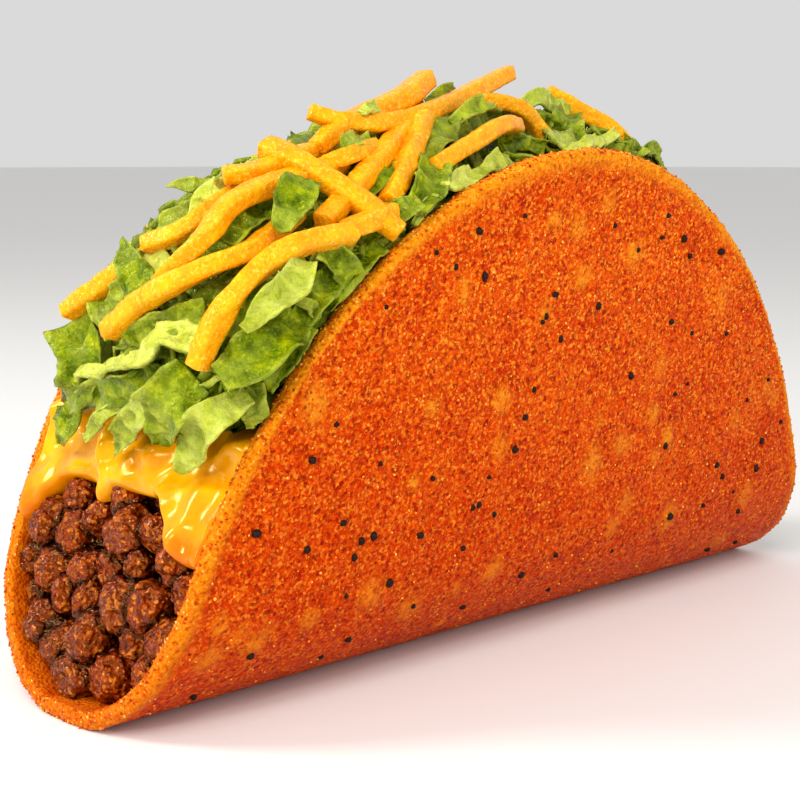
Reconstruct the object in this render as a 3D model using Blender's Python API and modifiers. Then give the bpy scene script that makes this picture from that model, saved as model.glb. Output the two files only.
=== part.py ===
"""A filled hard-shell taco, standing on its fold. Metres, +X along the fold, +Y across it, +Z up.

Run with: blender --background --python part.py
The origin is the middle of the flat spot under the fold. The shell is one oval corn sheet bent round the
X axis. The fillings are layers that run from one open end to the other: minced beef in the fold, cheese
sauce over it and down both ends, shredded lettuce heaped above, and cheese shreds across the top.
"""

import math

import bmesh
import bpy
import numpy as np
from mathutils import noise, Vector

# The shell: an oval sheet, 140 mm along the fold by 170 mm across it before it was bent.
SHELL_LENGTH = 0.140
SHEET_SPAN = 0.170
SHEET_ROUNDNESS = 1.93  # exponent of the sheet's outline, where 2 is a true ellipse
SHELL_THICKNESS = 0.0024
FOLD_RADIUS = 0.0214  # outside of the bend
WALL_LEAN = math.radians(5.4)  # where the bend ends and the wall begins
WALL_SPREAD = 1.6  # how fast the wall leans further out, in radians for each metre of wall
REST_HALF_WIDTH = 0.0055  # half of the flat spot that it stands on
SHELL_CELLS = (20, 36)  # along and across the fold

# The fillings. Heights are above the surface that the taco stands on.
WALL_GAP = 0.0011  # between a filling and the shell
LAYER_GAP = 0.0008  # between one filling and the next
EDGE_POWER = 24  # the higher, the sharper the fillings' edges
MIDDLE_END = 0.040  # the layers lie level this far out, and from there they change towards the open ends
BEEF_TOP = 0.031
SAUCE_DEPTH = 0.008
LETTUCE_TOP = 0.0772
LETTUCE_REACH = 0.060  # half length of the lettuce heap
LETTUCE_CROWN = 0.012  # how far the heap's middle stands above its sides
CRUMB_SIZE = 0.008
CRUMB_RELIEF = 0.004  # from the deepest gap between crumbs on an end face to the nearest crumb
SHRED_RADIUS = 0.0019
SHRED_POINTS = 8
TOP_SHRED_LIFT = 0.0024  # how far a shred that lies on others is above its place on the lettuce

# How far each filling's end stays behind the shell's rim, in the middle and beside the walls.
BEEF_SETBACK = (0.0012, 0.0026)
SAUCE_SETBACK = (-0.0005, 0.0008)

# The cheese shreds. x and y are the place of the middle, the heading turns from +X, and the bow is how far
# the middle sags sideways. Lengths in millimetres and headings in degrees. The last value is 1 for a shred
# that lies on top of others.
SHREDS = (
    # x, y, heading, length, bow, layer
    (-45, 12, 8, 32, 1, 0),
    (-40, 3, -4, 44, -3, 1),
    (-41, -9, -22, 40, 4, 0),
    (-30, 8, 10, 46, 3, 0),
    (-18, 15, 4, 40, 1, 0),
    (-20, -3, -58, 38, 0, 1),
    (-10, -8, 16, 44, 2, 0),
    (-2, 12, 14, 42, -2, 1),
    (6, 2, -40, 34, 1, 0),
    (12, 11, 0, 50, -3, 0),
    (14, -7, 32, 36, -2, 1),
    (26, -5, -8, 42, 4, 0),
    (34, 5, -34, 40, 3, 0),
    (44, -2, -10, 34, -2, 1),
)


def mm(value):
    return value / 1000


def fold_outline():
    """The fold's outer outline, in fine steps: the arc from the fold's middle, y, z, and the slope there."""
    arc = np.linspace(0, SHEET_SPAN / 2, 800)
    bend_end = FOLD_RADIUS * (math.pi / 2 - WALL_LEAN)
    turn = np.minimum(arc, bend_end) / FOLD_RADIUS - WALL_SPREAD * np.maximum(arc - bend_end, 0)
    step = np.diff(arc, prepend=0)
    y = np.cumsum(np.cos(turn) * step)
    z = np.cumsum(np.sin(turn) * step)
    flat = REST_HALF_WIDTH**2 / (2 * FOLD_RADIUS)
    return arc, y, np.maximum(z, flat) - flat, turn


ARC, ARC_Y, ARC_Z, ARC_TURN = fold_outline()


def on_sheet(u, v):
    """The point of the shell's outer face that lies u along the flat sheet and v across it."""
    arc = abs(v)
    return Vector((u, math.copysign(np.interp(arc, ARC, ARC_Y), v), np.interp(arc, ARC, ARC_Z)))


def inside_half_width(z):
    """Half of the room between the walls at this height, less the fillings' gap."""
    inset = SHELL_THICKNESS + WALL_GAP
    inner_y = ARC_Y - inset * np.sin(ARC_TURN)
    inner_z = ARC_Z + inset * np.cos(ARC_TURN)
    return float(np.interp(z, inner_z, inner_y))


def rim_reach(z):
    """How far from the middle the sheet's rim is along X, at this height."""
    share = min(np.interp(z, ARC_Z, ARC) / (SHEET_SPAN / 2), 1)
    return SHELL_LENGTH / 2 * (1 - share**SHEET_ROUNDNESS) ** (1 / SHEET_ROUNDNESS)


def paint(obj, colour, roughness):
    material = bpy.data.materials.new(obj.name)
    material.use_nodes = True
    shader = material.node_tree.nodes["Principled BSDF"]
    shader.inputs["Base Color"].default_value = (*colour, 1)
    shader.inputs["Roughness"].default_value = roughness
    shader.inputs["Metallic"].default_value = 0
    obj.data.materials.append(material)


def add_object(name, mesh, collection):
    obj = bpy.data.objects.new(name, mesh)
    collection.objects.link(obj)
    return obj


def mesh_of(name, bm):
    mesh = bpy.data.meshes.new(name)
    bmesh.ops.recalc_face_normals(bm, faces=bm.faces)
    bm.to_mesh(mesh)
    bm.free()
    mesh.shade_smooth()
    return mesh


def shell(collection):
    """The bent sheet: a grid rounded off to its outline, laid over the fold and thickened inwards."""
    bm = bmesh.new()
    bmesh.ops.create_grid(bm, x_segments=SHELL_CELLS[0], y_segments=SHELL_CELLS[1], size=1)
    for vert in bm.verts:
        a, b = vert.co.x, vert.co.y
        u = a * math.sqrt(1 - b * b / 2)
        v = b * math.sqrt(1 - a * a / 2)
        norm2 = math.hypot(u, v)
        if norm2 > 0:
            norm_n = (abs(u) ** SHEET_ROUNDNESS + abs(v) ** SHEET_ROUNDNESS) ** (1 / SHEET_ROUNDNESS)
            u, v = u * norm2 / norm_n, v * norm2 / norm_n
        vert.co = on_sheet(u * SHELL_LENGTH / 2, v * SHEET_SPAN / 2)
    mesh = mesh_of("shell", bm)
    middle = min(mesh.polygons, key=lambda face: face.center.length)
    obj = add_object("shell", mesh, collection)
    solidify = obj.modifiers.new("Thickness", "SOLIDIFY")
    solidify.thickness = SHELL_THICKNESS
    solidify.offset = 1 if middle.normal.z > 0 else -1
    solidify.use_even_offset = False
    paint(obj, (0.72, 0.16, 0.02), 0.75)


def slab(name, cells, place, collection):
    """A closed block of cells with rounded edges, whose points place() puts where they belong."""
    bm = bmesh.new()
    bmesh.ops.create_cube(bm, size=2)
    for axis in range(3):
        along = [e for e in bm.edges if abs(e.verts[0].co[axis] - e.verts[1].co[axis]) > 1]
        bmesh.ops.subdivide_edges(bm, edges=along, cuts=cells[axis] - 1, use_grid_fill=True)
    for vert in bm.verts:
        a, b, c = vert.co
        power_sum = abs(a) ** EDGE_POWER + abs(b) ** EDGE_POWER + abs(c) ** EDGE_POWER
        rounding = max(abs(a), abs(b), abs(c)) / power_sum ** (1 / EDGE_POWER)
        vert.co = place(a * rounding, b * rounding, c * rounding)
    return add_object(name, mesh_of(name, bm), collection)


def end_weight(x):
    """0 in the taco's middle and 1 at its open ends."""
    share = min(max((abs(x) - MIDDLE_END) / (LETTUCE_REACH - MIDDLE_END), 0), 1)
    return share * share * (3 - 2 * share)


def side_share(y):
    """How far out towards the walls this place is: 0 in the middle and 1 at a wall, level with the beef."""
    return abs(y) / inside_half_width(BEEF_TOP)


def beef_top(x, y):
    """The beef's upper face. At the ends the sauce hangs over it in a small drip and one along each wall."""
    small_drip = mm(2) * math.exp(-((y / mm(2)) ** 2))
    wall_drip = mm(6) * side_share(y) ** 2.4
    return BEEF_TOP - end_weight(x) * (mm(1.4) + small_drip + wall_drip)


def sauce_top(x, y):
    return BEEF_TOP + SAUCE_DEPTH - end_weight(x) * mm(2.5) * (1 + side_share(y) ** 2)


def lettuce_side(x):
    """Height of the heap's sides at this place along the taco."""
    share = min(abs(x) / (1.27 * LETTUCE_REACH), 0.95)
    return (LETTUCE_TOP - LETTUCE_CROWN) * (1 - share**2.6) ** 0.42


def lettuce_top(x, y):
    """The heap's uneven upper face."""
    across = min(abs(y) / inside_half_width(lettuce_side(x)), 1)
    lump = noise.noise(Vector((x / mm(11), y / mm(11), 0.3)))
    return lettuce_side(x) + LETTUCE_CROWN * (1 - across**2.2) + mm(1.8) * lump


def crumb_relief(y, z):
    """How far the crumbs on the beef's end face stand out from it or behind it."""
    distances, _ = noise.voronoi(Vector((y / CRUMB_SIZE, z / CRUMB_SIZE, 4.2)))
    return CRUMB_RELIEF * (0.4 - min(distances[0], 0.8))


def beef(collection):
    """Minced beef that fills the fold, with crumbs showing at both ends."""
    floor = SHELL_THICKNESS + WALL_GAP

    def place(a, b, c):
        z = floor + (c + 1) / 2 * (BEEF_TOP - floor)
        y = b * inside_half_width(z)
        setback = BEEF_SETBACK[0] + (BEEF_SETBACK[1] - BEEF_SETBACK[0]) * b * b
        x = a * (rim_reach(z) - setback + crumb_relief(y, z) * abs(a) ** 10)
        z = floor + (c + 1) / 2 * (beef_top(x, y) - floor)
        return x, y, z

    obj = slab("beef", (22, 16, 12), place, collection)
    paint(obj, (0.16, 0.05, 0.02), 0.4)


def sauce(collection):
    """Thick cheese sauce over the beef, hanging down its ends in drips."""

    def place(a, b, c):
        height = (c + 1) / 2
        z = BEEF_TOP + height * SAUCE_DEPTH
        y = b * inside_half_width(z)
        setback = SAUCE_SETBACK[0] + (SAUCE_SETBACK[1] - SAUCE_SETBACK[0]) * b * b
        x = a * (rim_reach(z) - setback)
        low, high = beef_top(x, y) + LAYER_GAP, sauce_top(x, y)
        return x, b * inside_half_width(low), low + height * (high - low)

    obj = slab("cheese_sauce", (22, 14, 3), place, collection)
    paint(obj, (0.95, 0.50, 0.03), 0.25)


def lettuce(collection):
    """The heap of shredded lettuce, from the sauce to its uneven top above the rim."""

    def place(a, b, c):
        height = (c + 1) / 2
        x = a * (LETTUCE_REACH - mm(9) * (height - 0.45) ** 2)
        y = b * inside_half_width(lettuce_side(x))
        low = sauce_top(x, y) + LAYER_GAP
        z = low + height * (lettuce_top(x, y) - low)
        return x, b * inside_half_width(min(z, lettuce_side(x))), z

    obj = slab("lettuce", (22, 12, 6), place, collection)
    paint(obj, (0.22, 0.42, 0.05), 0.45)


def resting_height(x, y):
    """Where a shred's middle line lies so that the shred clears the lettuce under its whole width."""
    reach = SHRED_RADIUS + mm(1.5)
    around = [(0, 0), (reach, 0), (-reach, 0), (0, reach), (0, -reach)]
    return max(lettuce_top(x + dx, y + dy) for dx, dy in around) + LAYER_GAP + SHRED_RADIUS


def shred_tube(name, shred):
    """One shred as a round curve that lies on the lettuce, or on the shreds there."""
    x0, y0, heading, length, bow, layer = shred
    along = Vector((math.cos(math.radians(heading)), math.sin(math.radians(heading))))
    side = Vector((-along.y, along.x))
    curve = bpy.data.curves.new(name, "CURVE")
    curve.dimensions = "3D"
    curve.bevel_depth = SHRED_RADIUS
    curve.bevel_resolution = 2
    curve.use_fill_caps = True
    spline = curve.splines.new("POLY")
    spline.points.add(SHRED_POINTS - 1)
    for i, point in enumerate(spline.points):
        t = 2 * i / (SHRED_POINTS - 1) - 1
        place = Vector((mm(x0), mm(y0))) + along * mm(length) * t / 2 + side * mm(bow) * (1 - t * t)
        height = resting_height(place.x, place.y) + layer * TOP_SHRED_LIFT
        point.co = (place.x, place.y, height, 1)
    return bpy.data.objects.new(name, curve)


def shred_mesh(number, shred):
    """The shred as a mesh with its caps welded on, which a Boolean can join."""
    tube = shred_tube(f"tube_{number:02d}", shred)
    bpy.context.scene.collection.objects.link(tube)
    mesh = bpy.data.meshes.new_from_object(tube.evaluated_get(bpy.context.evaluated_depsgraph_get()))
    bpy.data.objects.remove(tube)
    bm = bmesh.new()
    bm.from_mesh(mesh)
    bmesh.ops.remove_doubles(bm, verts=bm.verts, dist=1e-6)
    bpy.data.meshes.remove(mesh)
    return mesh_of(f"shred_{number:02d}", bm)


def cheese_shreds(collection, helpers):
    """The bundle of cheese shreds, joined where one lies on another."""
    first, *others = [shred_mesh(number, shred) for number, shred in enumerate(SHREDS)]
    for mesh in others:
        helper = add_object(mesh.name, mesh, helpers)
        helper.hide_render = True
        helper.display_type = "WIRE"
    obj = add_object("cheese_shreds", first, collection)
    union = obj.modifiers.new("Join", "BOOLEAN")
    union.operation = "UNION"
    union.operand_type = "COLLECTION"
    union.collection = helpers
    paint(obj, (0.95, 0.45, 0.02), 0.45)


def clear_scene():
    for obj in list(bpy.data.objects):
        bpy.data.objects.remove(obj)


def new_collection(name):
    collection = bpy.data.collections.new(name)
    bpy.context.scene.collection.children.link(collection)
    return collection


def main():
    clear_scene()
    taco = new_collection("taco")
    helpers = new_collection("shreds_to_join")
    shell(taco)
    beef(taco)
    sauce(taco)
    lettuce(taco)
    cheese_shreds(taco, helpers)


main()
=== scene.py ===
"""The looks of a filled hard-shell taco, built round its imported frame. Metres, +X along the fold, +Z up."""

import itertools
import math

import bmesh
import bpy
import numpy as np
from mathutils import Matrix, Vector
from mathutils.bvhtree import BVHTree


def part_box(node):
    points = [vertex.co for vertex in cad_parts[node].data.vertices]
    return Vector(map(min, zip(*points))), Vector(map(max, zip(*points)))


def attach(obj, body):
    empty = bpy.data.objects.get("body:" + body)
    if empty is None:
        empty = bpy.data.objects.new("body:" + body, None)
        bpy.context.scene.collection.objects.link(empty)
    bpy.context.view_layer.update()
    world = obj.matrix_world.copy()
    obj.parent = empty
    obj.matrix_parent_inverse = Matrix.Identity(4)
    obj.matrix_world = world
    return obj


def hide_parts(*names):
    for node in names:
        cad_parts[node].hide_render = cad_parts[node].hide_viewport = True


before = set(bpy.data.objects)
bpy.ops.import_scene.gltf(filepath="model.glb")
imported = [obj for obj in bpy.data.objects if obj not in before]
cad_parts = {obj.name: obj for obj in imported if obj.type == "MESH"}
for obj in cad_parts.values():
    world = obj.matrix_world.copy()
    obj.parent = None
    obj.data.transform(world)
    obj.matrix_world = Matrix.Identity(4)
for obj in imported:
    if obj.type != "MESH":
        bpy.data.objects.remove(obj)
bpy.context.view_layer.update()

MM = 0.001

# The shell's sheet before it was bent, as in the CAD source.
SHELL_LOW, SHELL_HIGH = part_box("shell")
SHELL_LENGTH = SHELL_HIGH[0] - SHELL_LOW[0]
SHEET_SPAN = 170 * MM
SHEET_ROUNDNESS = 1.93
SHELL_THICKNESS = 2.4 * MM
FOLD_RADIUS = 21.4 * MM
WALL_LEAN = math.radians(5.4)
WALL_SPREAD = 1.6
REST_HALF_WIDTH = 5.5 * MM

BEEF_FLOOR = SHELL_THICKNESS + 0.3 * MM
BEEF_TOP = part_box("beef")[1][2]
SAUCE_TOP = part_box("cheese_sauce")[1][2]


# ---- noise and curves


def lattice(cells, seed):
    """A value from -1 to 1 for each whole-number cell."""
    x, y, z = cells[..., 0], cells[..., 1], cells[..., 2]
    code = (x * 73856093) ^ (y * 19349663) ^ (z * 83492791) ^ (seed * 26544357)
    code = (code ^ (code >> 13)) * 1274126177
    code = (code ^ (code >> 16)) & 0xFFFFFF
    return code / 0x7FFFFF - 1


def field(points, size, seed):
    """Smooth noise from -1 to 1 at each point. size is how big its lumps are."""
    place = points / size
    cells = np.floor(place).astype(np.int64)
    share = place - cells
    share = share**3 * (share * (share * 6 - 15) + 10)
    total = np.zeros(points.shape[:-1])
    for corner in itertools.product((0, 1), repeat=3):
        weight = np.prod(np.where(corner, share, 1 - share), axis=-1)
        total += weight * lattice(cells + np.array(corner), seed)
    return total


def smooth_curve(points, count):
    """count points, evenly spaced by length, on a smooth curve through the given ones."""
    points = np.array(points, float)
    padded = np.concatenate([2 * points[:1] - points[1:2], points, 2 * points[-1:] - points[-2:-1]])
    fine = []
    for i in range(len(points) - 1):
        a, b, c, d = padded[i : i + 4]
        t = np.linspace(0, 1, 24, endpoint=False)[:, None]
        squared, cubed = 2 * a - 5 * b + 4 * c - d, 3 * b - a - 3 * c + d
        fine.append(0.5 * (2 * b + (c - a) * t + squared * t**2 + cubed * t**3))
    fine = np.concatenate([*fine, points[-1:]])
    lengths = np.concatenate([[0], np.cumsum(np.linalg.norm(np.diff(fine, axis=0), axis=1))])
    at = np.linspace(0, lengths[-1], count)
    return np.stack([np.interp(at, lengths, fine[:, k]) for k in range(3)], axis=1)


def unit(vectors):
    return vectors / np.maximum(np.linalg.norm(vectors, axis=-1, keepdims=True), 1e-12)


# ---- the sheet's shape


def fold_outline():
    """The fold's outer outline, in fine steps: the arc from the fold's middle, y, z, and the slope there."""
    arc = np.linspace(0, SHEET_SPAN / 2, 800)
    bend_end = FOLD_RADIUS * (math.pi / 2 - WALL_LEAN)
    turn = np.minimum(arc, bend_end) / FOLD_RADIUS - WALL_SPREAD * np.maximum(arc - bend_end, 0)
    step = np.diff(arc, prepend=0)
    y = np.cumsum(np.cos(turn) * step)
    z = np.cumsum(np.sin(turn) * step)
    flat = REST_HALF_WIDTH**2 / (2 * FOLD_RADIUS)
    return arc, y, np.maximum(z, flat) - flat, turn


ARC, ARC_Y, ARC_Z, ARC_TURN = fold_outline()


def on_sheet(u, v):
    """Points of the shell's outer face, and the outward directions there, for places on the flat sheet."""
    arc = np.abs(v)
    y = np.sign(v) * np.interp(arc, ARC, ARC_Y)
    turn = np.interp(arc, ARC, ARC_TURN)
    points = np.stack([u, y, np.interp(arc, ARC, ARC_Z)], axis=-1)
    outward = np.stack([np.zeros_like(u), np.sign(v) * np.sin(turn), -np.cos(turn)], axis=-1)
    return points, outward


def half_width(z, gap=0.0):
    """Half of the room between the walls at each height, less a gap."""
    inset = SHELL_THICKNESS + gap
    return np.interp(z, ARC_Z + inset * np.cos(ARC_TURN), ARC_Y - inset * np.sin(ARC_TURN))


def rim_reach(z):
    """How far out along X the sheet's rim is at each height."""
    share = np.minimum(np.interp(z, ARC_Z, ARC) / (SHEET_SPAN / 2), 1)
    return SHELL_LENGTH / 2 * (1 - share**SHEET_ROUNDNESS) ** (1 / SHEET_ROUNDNESS)


# ---- meshes


def grid_quads(rows, cols):
    index = np.arange(rows * cols).reshape(rows, cols)
    return np.stack([index[:-1, :-1], index[1:, :-1], index[1:, 1:], index[:-1, 1:]], -1).reshape(-1, 4)


def border_of(rows, cols):
    index = np.arange(rows * cols).reshape(rows, cols)
    return np.concatenate([index[0, :-1], index[:-1, -1], index[-1, :0:-1], index[:0:-1, 0]])


def sheet_solid(top, bottom, between=()):
    """A closed surface from two grids, joined round their border through the loops between them."""
    rows, cols = top.shape[:2]
    count = rows * cols
    faces = [grid_quads(rows, cols), grid_quads(rows, cols)[:, ::-1] + count]
    loops = [border_of(rows, cols)]
    points = [top.reshape(-1, 3), bottom.reshape(-1, 3)]
    for i, loop in enumerate(between):
        loops.append(2 * count + i * len(loop) + np.arange(len(loop)))
        points.append(loop)
    loops.append(border_of(rows, cols) + count)
    for a, b in zip(loops, loops[1:]):
        faces.append(np.stack([a, np.roll(a, -1), np.roll(b, -1), b], -1))
    return np.concatenate(points), np.concatenate(faces)


def tube_solid(rings):
    """A closed surface from rings of points, with a fan over each end."""
    count, sides = rings.shape[:2]
    index = np.arange(count * sides).reshape(count, sides)
    after = np.roll(index, -1, axis=1)
    quads = np.stack([index[:-1], after[:-1], after[1:], index[1:]], -1).reshape(-1, 4)
    points = np.concatenate([rings.reshape(-1, 3), rings[:1].mean(axis=1), rings[-1:].mean(axis=1)])
    first = np.stack([after[0], index[0], np.full(sides, count * sides)], -1)
    last = np.stack([index[-1], after[-1], np.full(sides, count * sides + 1)], -1)
    return points, quads, np.concatenate([first, last])


def ball(cells):
    """A unit sphere as points and faces, with cells x cells faces on each of six sides."""
    bm = bmesh.new()
    bmesh.ops.create_cube(bm, size=2)
    bmesh.ops.subdivide_edges(bm, edges=bm.edges, cuts=cells - 1, use_grid_fill=True)
    points = np.tan(np.array([v.co for v in bm.verts]) * math.pi / 4)
    faces = np.array([[v.index for v in face.verts] for face in bm.faces])
    bm.free()
    return unit(points), faces


def nugget(centre, radii, detail, seed, tone, side):
    """A rounded crumb, lumpy and grainy, with painted shade that darkens it in its dips and away from the end
    on that side.
    """
    points, faces = detail
    lumps = 0.17 * field(points, 0.9, seed) + 0.18 * (0.4 - np.abs(field(points, 0.5, seed + 1)))
    grains = 0.09 * (0.5 - np.abs(field(points, 0.24, seed + 2))) + 0.04 * field(points, 0.15, seed + 3)
    # Painted shade: darker in the dips between lumps and grains, and on the side facing into the fold.
    shade = np.clip(0.68 + 0.45 * side * points[:, 0] + 3.0 * grains + 1.2 * lumps, 0.05, 1)
    return centre + points * radii * (1 + lumps + grains)[:, None], [faces], tone * shade


def joined(solids):
    """Several (points, faces, tones) as one, with each solid's tone on all of its points."""
    points, faces, tones = [], [], []
    start = 0
    for solid_points, solid_faces, tone in solids:
        points.append(solid_points)
        tones.append(np.broadcast_to(tone, len(solid_points)))
        for group in solid_faces:
            faces.extend((group + start).tolist())
        start += len(solid_points)
    return np.concatenate(points), faces, np.concatenate(tones)


def facing_out(mesh):
    bm = bmesh.new()
    bm.from_mesh(mesh)
    bmesh.ops.recalc_face_normals(bm, faces=bm.faces)
    bm.to_mesh(mesh)
    bm.free()


def add_piece(name, points, faces, material, slot, replaced=None, **attributes):
    """Makes the object, with named values on its points, and puts it on the taco."""
    mesh = bpy.data.meshes.new(name)
    mesh.from_pydata(points.tolist(), [], faces if isinstance(faces, list) else faces.tolist())
    for key, values in attributes.items():
        layer = mesh.attributes.new(key, "FLOAT", "POINT")
        layer.data.foreach_set("value", np.ascontiguousarray(values, np.float32))
    facing_out(mesh)
    mesh.shade_smooth()
    mesh.materials.append(material)
    piece = bpy.data.objects.new(name, mesh)
    bpy.context.scene.collection.objects.link(piece)
    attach(piece, "root")
    if replaced:
        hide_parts(replaced)


def core_of(name, shrink, relief, size):
    """A smaller, finer copy of a CAD node's surface, with relief, as (points, faces)."""
    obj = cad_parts[name]
    bm = bmesh.new()
    bm.from_mesh(obj.data)
    bm.transform(obj.matrix_world)
    bmesh.ops.remove_doubles(bm, verts=bm.verts, dist=1e-6)
    bmesh.ops.subdivide_edges(bm, edges=bm.edges, cuts=1, use_grid_fill=True)
    bm.normal_update()
    points = np.array([v.co for v in bm.verts])
    normals = np.array([v.normal for v in bm.verts])
    faces = [[v.index for v in face.verts] for face in bm.faces]
    bm.free()
    depth = -shrink + relief * (field(points, size, 3) + 0.5 * field(points, size / 2.3, 4))
    return points + normals * depth[:, None], faces


# ---- materials


class Nodes:
    """A material under construction, whose add() makes a node and joins its inputs."""

    def __init__(self, name):
        self.material = bpy.data.materials.new(name)
        self.material.use_nodes = True
        self.tree = self.material.node_tree
        self.shader = self.tree.nodes["Principled BSDF"]
        self.place = self.tree.nodes.new("ShaderNodeTexCoord").outputs["Object"]

    def add(self, kind, inputs, output=0, **settings):
        node = self.tree.nodes.new("ShaderNode" + kind)
        for key, value in settings.items():
            setattr(node, key, value)
        for socket, value in inputs.items():
            if isinstance(value, bpy.types.NodeSocket):
                self.tree.links.new(value, node.inputs[socket])
            else:
                node.inputs[socket].default_value = value
        return node.outputs[output]

    def noise(self, size, detail=2.0, roughness=0.5):
        inputs = {"Vector": self.place, "Scale": 1 / size, "Detail": detail, "Roughness": roughness}
        return self.add("TexNoise", inputs)

    def cells(self, size, output="Distance", feature="F1"):
        inputs = {"Vector": self.place, "Scale": 1 / size}
        return self.add("TexVoronoi", inputs, output, feature=feature)

    def cell_value(self, size, channel):
        """A random value for each cell."""
        return self.add("SeparateColor", {"Color": self.cells(size, "Color")}, channel)

    def height(self, full):
        """Height above the floor, as a share of a full height."""
        z = self.add("SeparateXYZ", {"Vector": self.place}, "Z")
        return self.multiply(z, 1 / full)

    def attribute(self, name):
        return self.add("Attribute", {}, "Fac", attribute_name=name)

    def ramp(self, value, *stops):
        """A colour or a grey for each place along the value. Each stop is (position, colour or number)."""
        node = self.tree.nodes.new("ShaderNodeValToRGB")
        elements = node.color_ramp.elements
        while len(elements) < len(stops):
            elements.new(0.5)
        for element, (position, colour) in zip(elements, stops):
            element.position = position
            element.color = (*colour, 1) if isinstance(colour, tuple) else (colour, colour, colour, 1)
        self.tree.links.new(value, node.inputs["Fac"])
        return node.outputs["Color"]

    def mix(self, share, a, b, blend="MIX"):
        node = self.tree.nodes.new("ShaderNodeMix")
        node.data_type = "RGBA"
        node.blend_type = blend
        for socket, value in (("Factor", share), ("A", a), ("B", b)):
            target = next(s for s in node.inputs if s.name == socket and s.enabled)
            if isinstance(value, bpy.types.NodeSocket):
                self.tree.links.new(value, target)
            else:
                target.default_value = (*value, 1) if isinstance(value, tuple) else value
        return next(s for s in node.outputs if s.enabled)

    def multiply(self, a, b):
        return self.add("Math", {0: a, 1: b}, operation="MULTIPLY")

    def bump(self, height, distance, strength=1.0, normal=None):
        inputs = {"Height": height, "Distance": distance, "Strength": strength}
        if normal:
            inputs["Normal"] = normal
        return self.add("Bump", inputs)

    def finish(self, colour, normal, roughness, **constants):
        """Joins up the shader. Each constant is set directly on the socket of its name."""
        links = {"Base Color": colour, "Normal": normal, "Roughness": roughness}
        for socket, value in links.items():
            if isinstance(value, bpy.types.NodeSocket):
                self.tree.links.new(value, self.shader.inputs[socket])
            elif value is not None:
                self.shader.inputs[socket].default_value = (*value, 1) if isinstance(value, tuple) else value
        for socket, value in constants.items():
            self.shader.inputs[socket.replace("_", " ")].default_value = value
        return self.material


def rgb(*channels):
    """A colour given as 0 to 255 on a screen, as the shader's linear values."""
    return tuple(c / 255 / 12.92 if c < 10.3 else ((c / 255 + 0.055) / 1.055) ** 2.4 for c in channels)


WHITE = (1.0, 1.0, 1.0)


def shell_material():
    """Fried corn shell, coated in fine orange-red seasoning, with yellow blisters and a yellow cut rim."""
    n = Nodes("shell")
    # The lightest grains of this ramp are partly seasoning colour and partly painted sparkle highlights.
    coat_and_sparkle = n.ramp(
        n.noise(0.65 * MM, 5, 0.85),
        (0.34, rgb(132, 12, 0)),
        (0.44, rgb(196, 42, 0)),
        (0.51, rgb(226, 74, 0)),
        (0.58, rgb(252, 120, 12)),
        (0.66, rgb(255, 166, 44)),
    )
    patches = n.ramp(
        n.noise(9 * MM, 5, 0.65), (0.36, rgb(188, 36, 0)), (0.50, rgb(222, 76, 4)), (0.66, rgb(242, 110, 14))
    )
    colour = n.mix(0.28, coat_and_sparkle, patches)
    # Light-orange specks: partly seasoning colour, partly painted sparkle highlights.
    fleck_and_sparkle = n.ramp(n.cell_value(0.38 * MM, "Red"), (0.80, 0.0), (0.92, 0.7))
    colour = n.mix(fleck_and_sparkle, colour, rgb(255, 160, 40))
    spot = n.ramp(n.cell_value(0.5 * MM, "Green"), (0.82, 0.0), (0.93, 0.7))
    colour = n.mix(spot, colour, rgb(140, 12, 0))
    blister = n.multiply(n.attribute("blister"), n.ramp(n.noise(0.9 * MM, 3), (0.36, 0.25), (0.54, 1.0)))
    colour = n.mix(blister, colour, rgb(255, 160, 30))
    dots = n.ramp(
        n.noise(0.6 * MM, 3, 0.7),
        (0.32, rgb(186, 72, 0)),
        (0.42, rgb(236, 130, 10)),
        (0.58, rgb(246, 156, 22)),
        (0.72, rgb(255, 190, 66)),
    )
    colour = n.mix(n.attribute("rim"), colour, dots)
    inner = n.ramp(n.noise(1.5 * MM, 4, 0.6), (0.3, rgb(206, 80, 2)), (0.7, rgb(243, 140, 18)))
    colour = n.mix(n.attribute("inside"), colour, inner)
    # Darker and redder towards the bottom, by height alone.
    darker_below = n.ramp(n.height(60 * MM), (0.0, rgb(228, 190, 190)), (0.9, WHITE))
    colour = n.mix(1.0, colour, darker_below, "MULTIPLY")
    bump = n.bump(n.noise(0.9 * MM, 4, 0.75), 0.40 * MM, 1.0)
    bump = n.bump(n.cells(0.5 * MM), 0.30 * MM, 1.0, bump)
    rough = n.ramp(n.noise(0.6 * MM), (0.3, 0.35), (0.7, 0.7))
    return n.finish(colour, bump, rough, Specular_IOR_Level=0.08, Specular_Tint=(1.0, 0.35, 0.02, 1.0))


def pepper_material():
    n = Nodes("pepper")
    colour = n.ramp(n.noise(0.3 * MM, 2), (0.3, rgb(10, 5, 4)), (0.7, rgb(44, 22, 12)))
    return n.finish(colour, n.bump(n.noise(0.25 * MM), 0.05 * MM), 0.6, Specular_IOR_Level=0.15)


def seasoning_material():
    n = Nodes("seasoning")
    colour = n.ramp(
        n.attribute("tone"),
        (0.0, rgb(150, 26, 0)),
        (0.35, rgb(214, 66, 2)),
        (0.7, rgb(246, 128, 16)),
        (1.0, rgb(255, 190, 76)),
    )
    bump = n.bump(n.noise(0.2 * MM), 0.04 * MM)
    return n.finish(colour, bump, 0.4, Specular_IOR_Level=0.3, Specular_Tint=(1.0, 0.7, 0.4, 1.0))


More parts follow.
